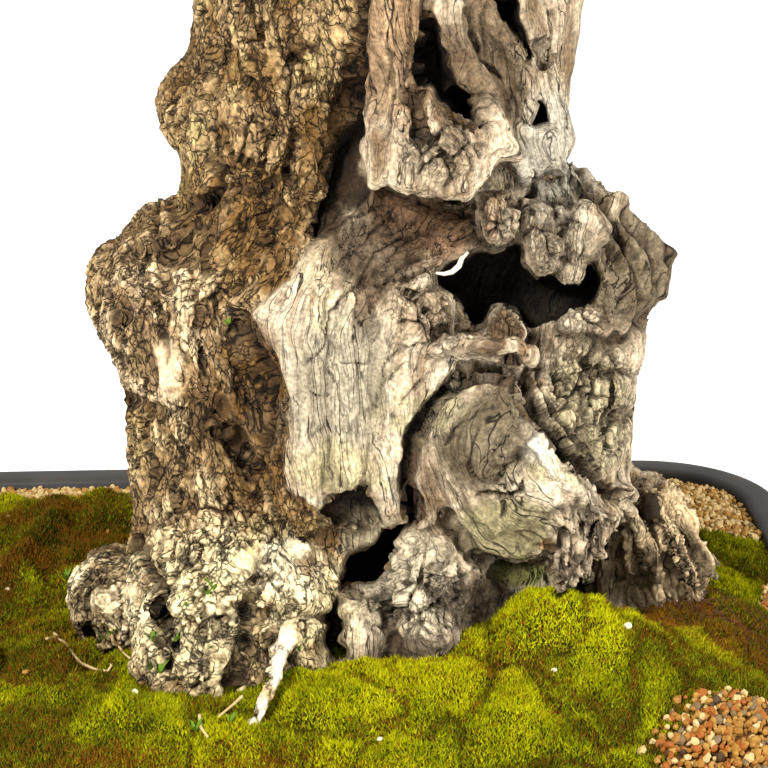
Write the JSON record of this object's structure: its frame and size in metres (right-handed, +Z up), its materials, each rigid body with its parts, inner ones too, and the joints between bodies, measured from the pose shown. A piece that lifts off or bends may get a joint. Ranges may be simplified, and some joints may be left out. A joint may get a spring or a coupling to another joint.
{
  "type": "olive bonsai",
  "caption": "Old olive bonsai with a hollowed, burled trunk of bare wood and bark, short boughs with masses of leaves, in a shallow dark oblong pot.",
  "frame": {"origin": "centre of the pot's flat underside, on the surface that the pot stands on", "axes": "+Z up, +X to the right along the pot's length as seen from the front, +Y away from the viewer"},
  "size_m": [0.6271, 0.4438, 0.7064],
  "materials": {
    "pot": "matte",
    "soil": "matte",
    "trunk": "matte",
    "bough": "matte",
    "leaves": "satin"
  },
  "bodies": {
    "root": {"pot": "pot", "soil": "soil", "trunk": "trunk", "bough_apex": "bough", "bough_left_high": "bough", "bough_right_high": "bough", "bough_left_low": "bough", "bough_right_low": "bough", "bough_front": "bough", "bough_front_left": "bough", "bough_back": "bough", "bough_back_right": "bough", "leaves_apex": "leaves", "leaves_left_high": "leaves", "leaves_right_high": "leaves", "leaves_left_low": "leaves", "leaves_right_low": "leaves", "leaves_front": "leaves", "leaves_front_left": "leaves", "leaves_back": "leaves", "leaves_back_right": "leaves"}
  },
  "joints": []
}
